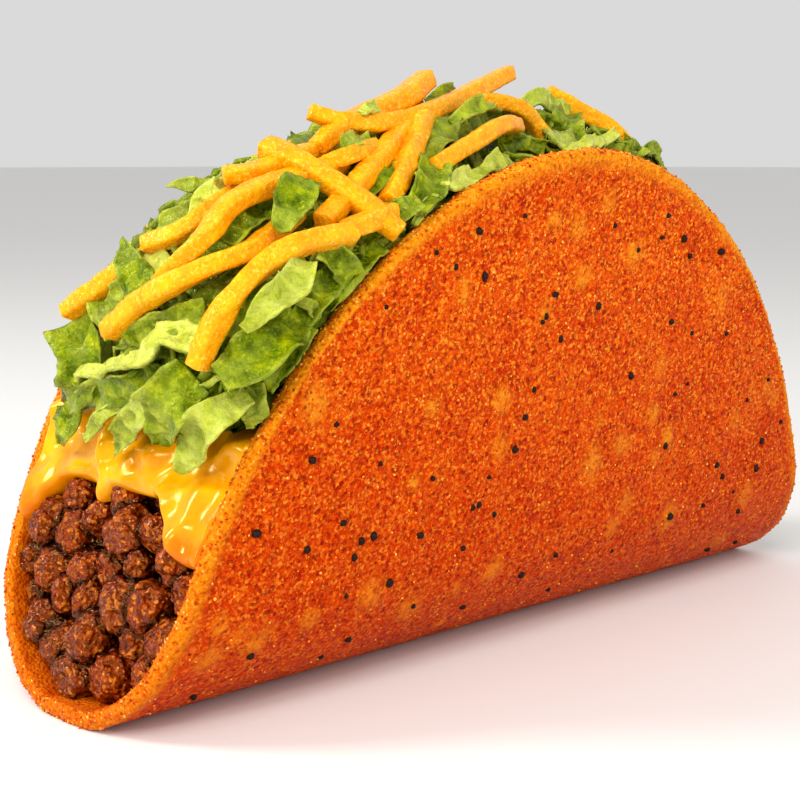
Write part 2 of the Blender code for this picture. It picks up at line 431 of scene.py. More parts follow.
def beef_material():
    """Browned wet mince: warm brown crumbs, with painted shade making them near-black in the gaps and further
    in.
    """
    n = Nodes("beef")
    fine = n.ramp(
        n.cell_value(0.5 * MM, "Red"),
        (0.0, rgb(44, 4, 0)),
        (0.4, rgb(106, 26, 0)),
        (0.8, rgb(160, 56, 0)),
        (1.0, rgb(240, 140, 30)),
    )
    broad = n.ramp(
        n.noise(2.4 * MM, 4, 0.6), (0.33, rgb(70, 8, 0)), (0.52, rgb(120, 34, 0)), (0.72, rgb(158, 66, 0))
    )
    colour = n.mix(0.45, fine, broad)
    # Painted shade: the point attribute darkens crumbs in their gaps, on their inward sides, in the back
    # layer and on the core.
    painted_shade = n.ramp(n.attribute("tone"), (0.0, rgb(20, 3, 0)), (0.45, rgb(120, 96, 90)), (1.0, WHITE))
    colour = n.mix(1.0, colour, painted_shade, "MULTIPLY")
    bump = n.bump(n.noise(1.2 * MM, 2, 0.6), 0.50 * MM, 1.0)
    grains = n.ramp(n.cells(0.62 * MM, feature="SMOOTH_F1"), (0.0, 1.0), (0.7, 0.0))
    bump = n.bump(grains, 0.36 * MM, 1.0, bump)
    rough = n.ramp(n.noise(0.7 * MM, 2), (0.35, 0.12), (0.65, 0.26))
    return n.finish(colour, bump, rough, Specular_IOR_Level=0.7, Specular_Tint=(1.0, 0.4, 0.1, 1.0))


def sauce_material():
    """Melted cheese sauce: glossy gold, a deeper orange towards the bottom."""
    n = Nodes("cheese_sauce")
    colour = n.ramp(
        n.noise(5 * MM, 3), (0.3, rgb(228, 134, 0)), (0.5, rgb(238, 156, 0)), (0.7, rgb(248, 182, 4))
    )
    # Deeper orange towards the bottom, by height alone: full below 24 mm, none above 31 mm.
    thick = n.ramp(n.height(50 * MM), (0.48, rgb(240, 188, 140)), (0.62, WHITE))
    colour = n.mix(1.0, colour, thick, "MULTIPLY")
    bump = n.bump(n.noise(2.2 * MM, 2, 0.5), 0.12 * MM, 0.5)
    rough = n.ramp(n.noise(2 * MM), (0.3, 0.12), (0.7, 0.24))
    return n.finish(
        colour, bump, rough, Specular_IOR_Level=0.5, Specular_Tint=(1.0, 0.85, 0.3, 1.0),
        Subsurface_Weight=0.15, Subsurface_Radius=(1.0, 0.5, 0.02), Subsurface_Scale=1.2 * MM,
    )


def cheese_material():
    """Grated cheese: yellow-orange, with painted speckle highlights all over it."""
    n = Nodes("cheese_shreds")
    colour = n.ramp(
        n.noise(2.0 * MM, 3, 0.6), (0.3, rgb(240, 142, 0)), (0.5, rgb(246, 160, 0)), (0.75, rgb(250, 178, 0))
    )
    # Painted highlights: fine pale speckles mixed into the colour all over the shred.
    crumbs = n.ramp(n.noise(0.5 * MM, 3, 0.7), (0.55, 0.0), (0.66, 0.8))
    colour = n.mix(crumbs, colour, rgb(255, 206, 72))
    bump = n.bump(n.noise(0.7 * MM, 2, 0.6), 0.26 * MM, 1.0)
    rough = n.ramp(n.noise(0.7 * MM, 2), (0.38, 0.2), (0.62, 0.4))
    return n.finish(
        colour, bump, rough, Specular_IOR_Level=0.45, Specular_Tint=(1.0, 0.85, 0.25, 1.0),
        Subsurface_Weight=0.1, Subsurface_Radius=(1.0, 0.5, 0.06), Subsurface_Scale=1.2 * MM,
    )


def lettuce_material():
    """Crisp leaf: mid green, paler where the attribute says that a rib runs, with painted shade that darkens
    it in its creases, further into the heap and on the core.
    """
    n = Nodes("lettuce")
    green = n.ramp(
        n.noise(2.2 * MM, 5, 0.65), (0.30, rgb(46, 66, 0)), (0.5, rgb(104, 124, 0)), (0.70, rgb(162, 168, 0))
    )
    pale = n.ramp(n.noise(1.6 * MM, 3, 0.6), (0.3, rgb(172, 182, 44)), (0.7, rgb(208, 212, 104)))
    colour = n.mix(n.attribute("pale"), green, pale)
    glints = n.ramp(n.noise(0.45 * MM, 2, 0.6), (0.58, 0.0), (0.72, 0.35))
    colour = n.mix(glints, colour, rgb(204, 212, 44))
    # Painted shade: the point attribute darkens creases and dips, the leaves scattered over the heap, and
    # most of all the core.
    painted_shade = n.ramp(n.attribute("tone"), (0.0, rgb(40, 64, 0)), (0.5, rgb(166, 180, 100)), (0.9, WHITE))
    colour = n.mix(1.0, colour, painted_shade, "MULTIPLY")
    bubbles = n.ramp(n.cells(1.1 * MM, feature="SMOOTH_F1"), (0.0, 1.0), (0.7, 0.0))
    bump = n.bump(n.noise(1.0 * MM, 3, 0.6), 0.60 * MM, 1.0)
    bump = n.bump(bubbles, 0.20 * MM, 0.9, bump)
    rough = n.ramp(n.noise(0.9 * MM, 2), (0.35, 0.16), (0.65, 0.32))
    return n.finish(
        colour, bump, rough, Specular_IOR_Level=0.4, Specular_Tint=(0.8, 1.0, 0.1, 1.0),
        Subsurface_Weight=0.05, Subsurface_Radius=(0.5, 1.0, 0.02), Subsurface_Scale=0.8 * MM,
    )


# ---- the shell

SHELL_GRID = (190, 230)
RIM_STEPS = 5
BLISTERS = 170
PEPPER_SPECKS = 150
WALL_GRAINS = 5200
RIM_GRAINS = 2600


def sheet_grid():
    """u and v on the flat sheet for a grid rounded off to the sheet's outline, and how far from the rim."""
    a, b = np.meshgrid(np.linspace(-1, 1, SHELL_GRID[0]), np.linspace(-1, 1, SHELL_GRID[1]), indexing="ij")
    u, v = a * np.sqrt(1 - b * b / 2), b * np.sqrt(1 - a * a / 2)
    round_norm = np.hypot(u, v)
    oval_norm = (np.abs(u) ** SHEET_ROUNDNESS + np.abs(v) ** SHEET_ROUNDNESS) ** (1 / SHEET_ROUNDNESS)
    scale = round_norm / np.maximum(oval_norm, 1e-9)
    inset = 0.7 * MM
    from_rim = (1 - np.maximum(np.abs(a), np.abs(b))) * SHEET_SPAN / 2
    return u * scale * (SHELL_LENGTH / 2 - inset), v * scale * (SHEET_SPAN / 2 - inset), from_rim


def make_shell(rng):
    u, v, from_rim = sheet_grid()
    flat = np.stack([u, v, np.zeros_like(u)], axis=-1)
    outer, outward = on_sheet(u, v)
    blister = np.zeros_like(u)
    for _ in range(BLISTERS):
        x, y = rng.uniform(-1, 1, 2) * (SHELL_LENGTH / 2, SHEET_SPAN / 2)
        radius = rng.uniform(0.9, 2.2) * MM
        reach = np.hypot(u - x, (v - y) * rng.uniform(0.7, 1.1)) / radius
        blister = np.maximum(blister, np.exp(-(reach**3)) * rng.uniform(0.4, 1))
    warp = 0.30 * field(flat, 24 * MM, 1) + 0.10 * field(flat, 6 * MM, 2)
    grain = 0.10 * field(flat, 2.0 * MM, 3) + 0.09 * field(flat, 0.9 * MM, 4)
    away_from_rest = np.clip((outer[..., 2] - 0.2 * MM) / (3 * MM), 0, 1)
    relief = (warp + grain + 0.22 * blister - 0.1) * MM * away_from_rest
    inner = outer - outward * (SHELL_THICKNESS - (warp + 0.12 * field(flat, 2.5 * MM, 5))[..., None] * MM)
    outer = outer + outward * relief[..., None]

    edge = border_of(*u.shape)
    top, bottom = outer.reshape(-1, 3)[edge], inner.reshape(-1, 3)[edge]
    along = unit(np.roll(top, -1, axis=0) - np.roll(top, 1, axis=0))
    across = unit(top - bottom)
    away = unit(np.cross(along, across))
    middle = (top + bottom) / 2
    inward = -(middle - middle.mean(axis=0))
    away = away * -np.sign((away * inward).sum(axis=1, keepdims=True))
    loops = []
    for i in range(1, RIM_STEPS + 1):
        angle = math.pi * i / (RIM_STEPS + 1)
        loop = middle + (top - middle) * math.cos(angle) + away * 0.75 * MM * math.sin(angle)
        rough = 0.13 * field(loop, 1.1 * MM, 7) + 0.12 * field(loop, 3.0 * MM, 8)
        loops.append(loop + away * rough[:, None] * MM * math.sin(angle))
    points, faces = sheet_solid(outer, inner, loops)

    near = np.exp(-((from_rim / (1.5 * MM)) ** 2)) * 0.95
    rim = np.concatenate([near.ravel(), np.minimum(near.ravel() + 0.1, 1), np.ones(len(edge) * RIM_STEPS)])
    none = np.zeros(u.size)
    inside = np.concatenate([none, none + 1, np.zeros(len(edge) * RIM_STEPS)])
    blister = np.concatenate([blister.ravel(), none, np.zeros(len(edge) * RIM_STEPS)])
    values = {"rim": rim, "inside": inside, "blister": blister}
    add_piece("shell_crust", points, faces, shell_material(), "shell", "shell", **values)
    return outer, outward, loops


def grain_solid(centre, outward, size, rng):
    """A tiny irregular crumb lying on a surface."""
    corners = np.array([(1, 0, 0), (0, 1, 0), (-1, 0, 0), (0, -1, 0), (0, 0, 0.8), (0, 0, -0.4)])
    corners = corners * rng.uniform(0.6, 1.2, (6, 1))
    side = unit(np.cross(outward, rng.normal(size=3)))
    other = np.cross(outward, side)
    turned = corners @ np.stack([side, other, outward])
    faces = np.array([(0, 1, 4), (1, 2, 4), (2, 3, 4), (3, 0, 4), (1, 0, 5), (2, 1, 5), (3, 2, 5), (0, 3, 5)])
    return centre + turned * size / 2, [faces], rng.uniform(0, 1)


def make_grains(outer, outward, loops, rng):
    """Pepper specks, and loose seasoning on the crust and along its rim."""
    rows, cols = outer.shape[:2]
    round_grain = ball(3)
    specks = []
    for _ in range(PEPPER_SPECKS):
        i, j = rng.integers(6, rows - 6), rng.integers(6, cols - 6)
        if outer[i, j, 2] > 4 * MM:
            radii = rng.uniform(0.32, 0.6) * MM * rng.uniform(0.75, 1.25, 3)
            specks.append(nugget(outer[i, j], radii, round_grain, int(rng.integers(1000)), 1.0, 0))
    points, faces, tones = joined(specks)
    add_piece("pepper_specks", points, faces, pepper_material(), "shell", tone=tones)

    crumbs = []
    for _ in range(WALL_GRAINS):
        i, j = rng.integers(1, rows - 1), rng.integers(1, cols - 1)
        if outer[i, j, 2] > 2 * MM:
            crumbs.append(grain_solid(outer[i, j], outward[i, j], rng.uniform(0.25, 0.6) * MM, rng))
    ring = np.concatenate(loops)
    away = unit(ring - outer.mean(axis=(0, 1)))
    for _ in range(RIM_GRAINS):
        k = rng.integers(len(ring))
        crumbs.append(grain_solid(ring[k], away[k], rng.uniform(0.3, 0.7) * MM, rng))
    points, faces, tones = joined(crumbs)
    add_piece("seasoning_grains", points, faces, seasoning_material(), "shell", tone=tones)


# ---- the beef

# Each layer of crumbs: how many at most, how far apart, how deep in from the rim, and how finely modelled.
# The first layer is finer at the left end, which faces the camera.
BEEF_LAYERS = ((50, 4.5 * MM, 3.7 * MM, {-1: 20, 1: 12}), (50, 4.0 * MM, 7.5 * MM, {-1: 6, 1: 6}))
TRIES_PER_CRUMB = 300


def in_fold(spot, side):
    """Whether a crumb may lie at (y, z) at one end: under the sauce and clear of the walls."""
    y, z = spot
    below_sauce = z < sauce_edge(spot[:1], side)[0] - 1.2 * MM
    return below_sauce and abs(y) < half_width(z) - 1.6 * MM and z > BEEF_FLOOR + 1.6 * MM


def spread_out(count, spacing, side, rng):
    """Up to count random places (y, z) for crumbs at one end, at least spacing apart."""
    low = (-half_width(BEEF_TOP), BEEF_FLOOR)
    high = (half_width(BEEF_TOP), BEEF_TOP)
    found = []
    for _ in range(count * TRIES_PER_CRUMB):
        spot = rng.uniform(low, high)
        if in_fold(spot, side) and all(np.hypot(*(spot - other)) > spacing for other in found):
            found.append(spot)
        if len(found) == count:
            break
    return found


def gap_shade(crumbs):
    """Painted shade for each point of some crumbs: dark where it lies close to another crumb or within it."""
    centres = np.array([points.mean(axis=0) for points, _, _ in crumbs])
    sizes = np.array([np.ptp(points, axis=0).mean() / 2 for points, _, _ in crumbs])
    shades = []
    for i, (points, _, _) in enumerate(crumbs):
        away = np.linalg.norm(points[:, None] - centres, axis=-1) / sizes
        away[:, i] = 9
        shades.append(np.clip((away.min(axis=1) - 0.95) / 0.3, 0.12, 1))
    return np.concatenate(shades)


def make_beef(rng):
    material = beef_material()
    for side, name in ((-1, "beef_crumbs_left"), (1, "beef_crumbs_right")):
        solids = []
        for layer, (count, spacing, depth, fineness) in enumerate(BEEF_LAYERS):
            detail = ball(fineness[side])
            for y, z in spread_out(count, spacing, side, rng):
                radius = rng.uniform(2.5, 3.8) * MM
                radius = min(radius, float(half_width(z)) - abs(y) + 1.4 * MM)
                x = side * (rim_reach(z) - depth + rng.uniform(-0.8, 0.7) * MM)
                radii = radius * rng.uniform(0.85, 1.12, 3)
                # Painted shade: crumbs of the back layer get a much darker value than the front ones.
                tone = rng.uniform(0.8, 1) if layer == 0 else rng.uniform(0.25, 0.5)
                solids.append(nugget(np.array((x, y, z)), radii, detail, int(rng.integers(1000)), tone, side))
        points, faces, tones = joined(solids)
        # Painted shade in the gaps between crumbs.
        tones = tones * gap_shade(solids)
        points[:, 1] = np.clip(points[:, 1], -half_width(points[:, 2]), half_width(points[:, 2]))
        points[:, 2] = np.maximum(points[:, 2], SHELL_THICKNESS)
        add_piece(name, points, faces, material, "beef", tone=tones)
    points, faces = core_of("beef", 0.2 * MM, 0.8 * MM, 5 * MM)
    points[:, 0] *= 0.9
    # Painted shade: the core gets a low value that colours it near-black.
    add_piece("beef_core", points, faces, material, "beef", "beef", tone=np.full(len(points), 0.2))


# ---- the cheese sauce

# How the sauce's lower edge hangs down at each end, as drips: y of the middle, depth, half width, squareness.
# Lengths in millimetres.
SAUCE_EDGE = 28.2 * MM
DRIPS = {
    -1: ((21, 7.0, 5.0, 2), (4, 2.0, 1.8, 2), (-21, 6.9, 8.4, 4)),
    1: ((-18, 5.5, 4.5, 2), (7, 3.4, 2.4, 2), (18.5, 6.5, 5.0, 4)),
}
SAUCE_COLUMNS = 170
SAUCE_LIP = 1.7 * MM
SAUCE_LIP_IN = 1.6 * MM
OVER_STEPS, FACE_STEPS, LIP_STEPS, UNDER_STEPS = 12, 34, 11, 7


def sauce_edge(y, side):
    """Height of the sauce's lower edge at one end."""
    z = np.full_like(y, SAUCE_EDGE)
    for middle, depth, width, power in DRIPS[side]:
        z = z - depth * MM * np.exp(-(np.abs((y / MM - middle) / width) ** power))
    return z


def sauce_profile(y, b, side):
    """The sauce's outline at one end and one place across: over the top, down the face, round the lip."""
    edge = float(sauce_edge(np.array([y]), side)[0])
    top = SAUCE_TOP - 1.2 * MM
    reach = 1.0 * MM + 1.4 * MM * (1 - b**4)
    heights = np.linspace(top, edge + SAUCE_LIP, FACE_STEPS)
    shoulder = np.clip((heights - (top - 4 * MM)) / (4 * MM), 0, 1)
    face_x = rim_reach(heights) - SAUCE_LIP_IN + reach - 2.2 * MM * shoulder**2
    angles = np.linspace(0, math.pi, LIP_STEPS + 1)[1:]
    lip_x = rim_reach(edge + SAUCE_LIP) - SAUCE_LIP_IN + reach - SAUCE_LIP * (1 - np.cos(angles))
    lip_z = edge + SAUCE_LIP - SAUCE_LIP * np.sin(angles)
    over_x = np.linspace(0.30, 1, OVER_STEPS, endpoint=False) * face_x[0]
    under_x = np.linspace(1, 0.55, UNDER_STEPS + 1)[1:] * lip_x[-1]
    x = np.concatenate([over_x, face_x, lip_x, under_x])
    z = np.concatenate([np.full(OVER_STEPS, top), heights, lip_z, np.full(UNDER_STEPS, edge + SAUCE_LIP)])
    return side * x, z


def make_sauce():
    columns = []
    for b in np.linspace(-1, 1, SAUCE_COLUMNS):
        y = b * float(half_width(33 * MM))
        left_x, left_z = sauce_profile(y, b, -1)
        right_x, right_z = sauce_profile(y, b, 1)
        x = np.concatenate([left_x, right_x[::-1]])
        z = np.concatenate([left_z, right_z[::-1]])
        width = half_width(z) + 0.25 * MM
        columns.append(np.stack([x, b * width, z], axis=-1))
    rings = np.array(columns)
    out = np.sign(rings[..., :1]) * np.array([1.0, 0, 0]) + np.array([0, 0, 0.35])
    near_end = np.clip((np.abs(rings[..., 0]) - 48 * MM) / (6 * MM), 0, 1)
    ridges = np.zeros(rings.shape[:2])
    for side in (-1, 1):
        for middle, _, width, _ in DRIPS[side]:
            ridge = np.exp(-(((rings[..., 1] / MM - middle) / (0.7 * width)) ** 2))
            ridges += np.where(np.sign(rings[..., 0]) == side, ridge, 0)
    wide, narrow = field(rings * (1, 1, 0.6), 4.8 * MM, 11), field(rings * (1, 1, 0.8), 2.4 * MM, 12)
    folds = 1.4 * ridges + 2.0 * wide + 0.6 * narrow
    rings = rings + unit(out) * (folds * near_end * MM)[..., None]
    points, quads, caps = tube_solid(rings)
    faces = quads.tolist() + caps.tolist()
    add_piece("sauce_melt", points, faces, sauce_material(), "cheese_sauce", "cheese_sauce")


# ---- the lettuce

FRONT_LEAF_CELLS = (42, 12)
LEAF_CELLS = (20, 7)

# Leaves that lie where they show. Each is the points of its midline as (x, y, z), its widths along that line,
# the way its face looks, how far its edges curl up, how ruffled they are, and how pale it is.
# Lengths in millimetres, paleness from 0 to 1.
LEAVES = (
    (((-60, -1, 61), (-61, -3.5, 59), (-61.5, -6, 57), (-61.5, -8.5, 54.5)),
     (0.6, 2.6, 4.2, 5), (-1, -0.6, 0.2), 0.4, 0.2, 0.0),
    (((-61.5, 7.5, 49.5), (-62.5, 4, 46), (-62, 5, 42), (-60.5, 9, 38.5)),
     (7, 7, 5.4, 1.6), (-1, -0.5, 0.3), 0.6, 0.6, 0.0),
    (((-60.5, 8, 40), (-63, 2, 43.5), (-64, -4, 45.5), (-64, -10, 47), (-63, -12.5, 49),
      (-62.5, -14.5, 50), (-61, -19, 49)),
     (0.6, 1.5, 1.8, 2.0, 3.0, 3.6, 3.8), (-0.8, -0.8, 0.9), 0.3, 0.15, 1.0),
    (((-60, 8.5, 39), (-61.5, 1.5, 41.5), (-62, -5, 42.5), (-61, -12, 44.5)),
     (1.6, 3.8, 4.4, 4), (-1, -0.6, -0.2), 0.8, 0.4, 0.1),
    (((-57.5, 15, 38), (-59.5, 12.5, 36), (-59.5, 14.5, 32.5)),
     (4.4, 4.4, 1.0), (-1, -0.4, 0.2), 0.8, 0.5, 0.1),
    (((-62, -3, 40), (-62.5, 0.5, 38), (-61.5, 4.5, 35)),
     (1.6, 2.0, 1.0), (-1, -0.5, 0.2), 0.2, 0.2, 0.6),
    (((-62, -13, 43.5), (-62.5, -10, 41), (-62.5, -5, 37.5), (-61, -0.5, 33.5)),
     (3.2, 4, 4.0, 0.8), (-1, -0.7, 0.3), 0.6, 0.5, 0.4),
    (((-61, -18, 45), (-63, -15.5, 41.5), (-61.5, -12, 36.5)),
     (5.6, 6.6, 2.0), (-1, -0.6, 0.3), 0.7, 0.6, 0.1),
    (((-59, -18.5, 44), (-59, -19.5, 42.5), (-59, -17, 40.5)),
     (4, 4.6, 3), (-0.6, -1, -0.4), 0.5, 0.5, 0.0),
    (((-57, -22.5, 43), (-60.5, -21, 40.5), (-61.5, -18.5, 38), (-61, -14.5, 33)),
     (3, 4.2, 5.2, 1.6), (-1, -0.8, 0.4), 0.5, 0.4, 0.6),
    (((-56.5, -22, 44), (-54.5, -21.5, 39)),
     (4, 3.6), (-1, -0.9, 0.2), 0.5, 0.5, 0.2),
    (((-51, -25, 52), (-56.5, -25, 48.5), (-60.5, -22, 45)),
     (4.2, 7.0, 4.0), (-0.7, -1, 0.5), 0.5, 0.5, 0.05),
    (((-48, -23, 50.5), (-50.5, -22.5, 47), (-54, -22, 43.5)),
     (3, 3, 2.6), (-1, -0.8, -0.2), 0.4, 0.5, 0.2),
    (((-52, -27, 59), (-53.5, -27, 56), (-56.5, -26.5, 54), (-59.5, -25, 51)),
     (3.2, 4.0, 3.4, 1.6), (-0.6, -1, 0.7), 0.9, 0.3, 0.7),
    (((-50.5, -25, 54), (-49, -25, 53), (-47.5, -24.5, 51.5)),
     (1.2, 1.6, 1.2), (-0.2, -1, 0.2), 1, 0.3, 0.6),
    (((-60, -18.5, 52.5), (-61.5, -13, 51), (-62.5, -6, 48)),
     (3.6, 4, 3), (-1, -0.6, 0.2), 0.6, 0.5, 0.2),
    (((-59, -6.5, 59.5), (-59.5, -10, 57)),
     (2.6, 2.6), (-1, -0.8, 0.4), 0.3, 0.3, 0.9),
    (((-61, -4, 55), (-61, -1, 53), (-61.5, 1.5, 51)),
     (2.4, 2.4, 1.6), (-1, -0.7, 0.5), 0.3, 0.4, 0.2),
    (((-53.5, -2.5, 67), (-51.5, -5.5, 67.2), (-49.5, -8.5, 67.5)),
     (0.5, 2.4, 2.6), (-0.8, -0.8, 0.8), 0.2, 0.2, 0.3),
    (((-50, -10, 67), (-53, -9.5, 66), (-54.5, -9.5, 63.5)),
     (2, 2.6, 2), (-0.9, -0.7, 0.6), 0.3, 0.3, 0.75),
    (((-56.5, -4.5, 62), (-56, -7, 63), (-54, -8, 64.5)),
     (1.6, 2.4, 1.6), (-1, -0.8, 0.6), 0.3, 0.4, 0.3),
    (((-46, -20.5, 68), (-49.5, -22, 65), (-52.5, -23.5, 62)),
     (4.0, 4.8, 2.4), (-0.8, -1, 0.7), 0.8, 0.5, 0.05),
    (((-45.5, -16, 66), (-51, -16.5, 63.5), (-55, -16.5, 60)),
     (3, 4, 3.4), (-1, -0.7, 0.6), 0.4, 0.5, 0.1),
    (((-27, -16.5, 71.5), (-32, -19.5, 69), (-36, -20.5, 66.5)),
     (2.6, 3.6, 2.6), (-0.8, -1, 0.3), 0.5, 0.5, 0.0),
    (((-24.5, -21, 70), (-27.5, -23, 67), (-32.5, -25, 63.5)),
     (4.4, 4.6, 3), (-0.5, -1, 0.5), 0.8, 0.5, 0.0),
    (((-26, -24.5, 66.5), (-29.5, -25, 64.8), (-32.5, -26, 63)),
     (1.0, 1.6, 1.0), (-0.6, -1, 0.8), 0.2, 0.3, 0.6),
    (((-15, -14.5, 76), (-19.5, -17.5, 73.5), (-24, -18.5, 70.5)),
     (3, 4, 2.6), (-0.8, -1, 0.8), 0.8, 0.6, 0.1),
    (((-15.5, -22, 69), (-21, -23.5, 67.8), (-26, -24.5, 66)),
     (1.4, 3, 2.4), (-0.4, -1, 1), 0.2, 0.3, 0.85),
    (((-9, -21.5, 71), (-13, -22, 70.3), (-16.5, -22.5, 69)),
     (2.2, 3.0, 1.6), (-0.4, -1, 0.8), 0.2, 0.4, 0.7),
    (((-16, -16.5, 75.5), (-11, -15.5, 77), (-5.5, -14.5, 77.5)),
     (1.8, 2.2, 1.8), (-0.6, -1, 0.8), 0.4, 0.5, 0.3),
    (((-10.5, -6.5, 78.5), (-7.5, -6.5, 79.5), (-3.5, -6, 79)),
     (2.0, 2.8, 1.8), (-0.6, -1, 0.4), 0.5, 0.5, 0.2),
    (((10.5, -4.5, 78.5), (15.5, -4, 79.2), (21.5, -4.5, 77.5)),
     (2, 3.4, 2.6), (-0.6, -1, 0.6), 0.4, 0.4, 0.7),
    (((20, -6, 77.5), (17, -8, 75.5), (14.5, -11.5, 72)),
     (3.4, 4.8, 4.6), (-0.8, -1, 0.1), 0.7, 0.5, 0.0),
    (((20, -15.5, 73.8), (12, -18, 73.2), (3.5, -20, 71.5)),
     (1.4, 2.4, 2.0), (-0.3, -1, 1), 0.2, 0.2, 0.95),
    (((23, -18, 71.2), (27, -16.5, 71.6), (31, -15.5, 69.5)),
     (0.8, 2.4, 2.4), (-0.3, -1, 0.6), 0.3, 0.3, 0.25),
    (((-7, -16.5, 72.5), (-2, -16, 72.8), (2.5, -16, 72)),
     (2.2, 2.6, 2.2), (-0.5, -1, 0.2), 0.5, 0.5, 0.0),
    (((-31.5, -14.5, 76), (-28.5, -14, 76.8)),
     (1.4, 1.6), (-0.7, -1, 0.8), 0.2, 0.3, 0.7),
    (((-37.5, -17.5, 72), (-31, -16.5, 73)),
     (2.0, 2.4), (-0.7, -1, 0.8), 0.4, 0.4, 0.3),
    (((-48, -25, 60.5), (-45, -25.5, 58), (-43, -25, 56)),
     (3.4, 3.6, 3), (-0.4, -1, 0.1), 0.6, 0.6, 0.05),
    (((-41.5, -22.5, 61), (-43.5, -24, 59.5), (-46, -24.5, 57.5)),
     (2.6, 3, 2.4), (-0.8, -1, 0.6), 0.8, 0.5, 0.2),
    (((-50, -23.5, 51), (-46, -23.8, 55), (-42, -24.2, 58.5)),
     (3, 4, 3), (-0.3, -1, 0.6), 0.6, 0.6, 0.0),
    (((-46, -23.5, 52.5), (-41, -24, 57), (-37, -24.2, 60)),
     (2.6, 3.4, 2.6), (-0.6, -1, 0.9), 0.8, 0.5, 0.1),
    (((-39, -23, 60.5), (-36, -24, 63), (-31, -24.5, 65)),
     (2.2, 3.0, 2.6), (-0.4, -1, 0.4), 0.6, 0.5, 0.0),
    (((-58, -21, 50), (-57, -23, 54), (-55, -23, 57)),
     (4, 5, 4), (-0.9, -0.8, 0.2), 0.4, 0.6, 0.05),
    (((-61, -13, 48), (-62, -8, 50), (-62, -3, 52)),
     (3, 4, 3), (-1, -0.5, 0.1), 0.4, 0.6, 0.1),
    (((-60, 3, 54), (-61, 1, 51.5), (-61.5, -1.5, 48.5)),
     (3, 4, 3), (-1, -0.6, 0.2), 0.4, 0.5, 0.15),
)

# How many more leaves to scatter, and the corners of the box to scatter them in, in millimetres.
SCATTERED_LEAVES = (
    (225, (-64, -25, 36), (64, 25, 80)),
    (45, (-63, -23, 41), (-52, 14, 60)),
    (30, (-50, -26, 50), (0, -20, 74)),
)
CORE_DEPTH = 4 * MM
CORE_FLOOR = 37 * MM
# Painted shade: how dark the heap's core is coloured.
CORE_SHADE = 0.3
LEAF_GAP = 0.3 * MM

# How far along X the camera's line of sight goes for each step along Y, and how far to the left and right
# of the middle, measured on that slant, a scattered leaf may reach.
SIGHT_SLANT = 0.96
SLANT_LOW, SLANT_HIGH = -68.5 * MM, 71 * MM

# The lowest place on the heap where a line may be centred, and the lowest height of any of its points.
LINE_CENTRE_FLOOR = 38 * MM
LINE_FLOOR = 39 * MM

# The heap's outline along its middle, as (x, z) in millimetres.
HEAP_OUTLINE = (
    (-68, 30), (-66, 46), (-64, 49), (-59, 52), (-54, 57), (-49, 62), (-44, 65), (-39, 68), (-32, 71),
    (-23, 74), (-13, 78), (3, 80), (27, 79), (53, 72), (60, 68), (75, 50),
)


def leaf_solid(line, widths, facing, curl, ruffle, pale, tone, cells, rng):
    """A strip of leaf along a line: (points, faces, tone) and how pale each point is."""
    rows, cols = cells
    along = smooth_curve(line, rows)
    length = np.linalg.norm(np.diff(along, axis=0), axis=1).sum()
    tangent = unit(np.gradient(along, axis=0))
    side = unit(np.cross(facing, tangent))
    normal = np.cross(tangent, side)
    s = np.linspace(0, 1, rows)
    b = np.linspace(-1, 1, cols)
    seed = int(rng.integers(10000))
    half = 0.5 * np.interp(s, np.linspace(0, 1, len(widths)), widths)
    for _ in range(3):
        half[1:-1] = (half[:-2] + 2 * half[1:-1] + half[2:]) / 4
    flat = np.stack(np.broadcast_arrays(s[:, None] * length, b[None, :] * half[:, None], 0.0), axis=-1)
    edge_place = np.stack(np.broadcast_arrays(s[:, None] * length, np.sign(b)[None, :] * MM, 0.0), axis=-1)
    ragged = 1 + 0.14 * field(edge_place, 2.8 * MM, seed) + 0.07 * field(edge_place, 1.2 * MM, seed + 5)
    across = half[:, None] * b * ragged
    phase = rng.uniform(0, 2 * math.pi)
    wave = np.sin(s[:, None] * length / (1.4 * MM) + phase + 1.5 * np.sign(b) + field(flat, 5 * MM, seed + 4))
    bubbles = 0.5 - np.abs(field(flat, 2.6 * MM, seed + 1))
    lift = ruffle * np.abs(b) ** 1.6 * wave + curl * half[:, None] * 0.5 * b**2
    creases = 0.4 - np.abs(field(flat, 1.5 * MM, seed + 6))
    lift = lift + (1.2 * bubbles + 0.45 * creases + 0.9 * field(flat, 6 * MM, seed + 2)) * MM
    middle = along[:, None] + side[:, None] * across[..., None] + normal[:, None] * lift[..., None]
    rib = np.exp(-((b / 0.3) ** 2))[None, :] * (0.4 + 0.6 * s[:, None])
    thick = (0.20 + 0.12 * rib + 0.2 * pale) * MM
    offset = normal[:, None] * thick[..., None]
    points, faces = sheet_solid(middle + offset, middle - offset)
    edge = 0.35 * np.abs(b)[None, :] ** 6
    shade = np.clip(pale + 0.12 * rib + edge + 0.2 * field(flat, 4 * MM, seed + 3), 0, 1)
    # Painted shade in the dips of the bubbles and in the creases, weaker on pale leaves.
    hollow_shade = (0.5 * bubbles + 0.35 * creases - 0.18) * (1 - 0.7 * pale)
    tone = np.clip(tone * (1 + hollow_shade), 0, 1).ravel()
    return (points, [faces], np.concatenate([tone, tone])), np.concatenate([shade.ravel(), shade.ravel()])


def rim_height(x):
    """How high the sheet's rim is at each place along X."""
    share = (1 - np.minimum(np.abs(x) / (SHELL_LENGTH / 2), 1) ** SHEET_ROUNDNESS) ** (1 / SHEET_ROUNDNESS)
    return np.interp(share * SHEET_SPAN / 2, ARC, ARC_Z)


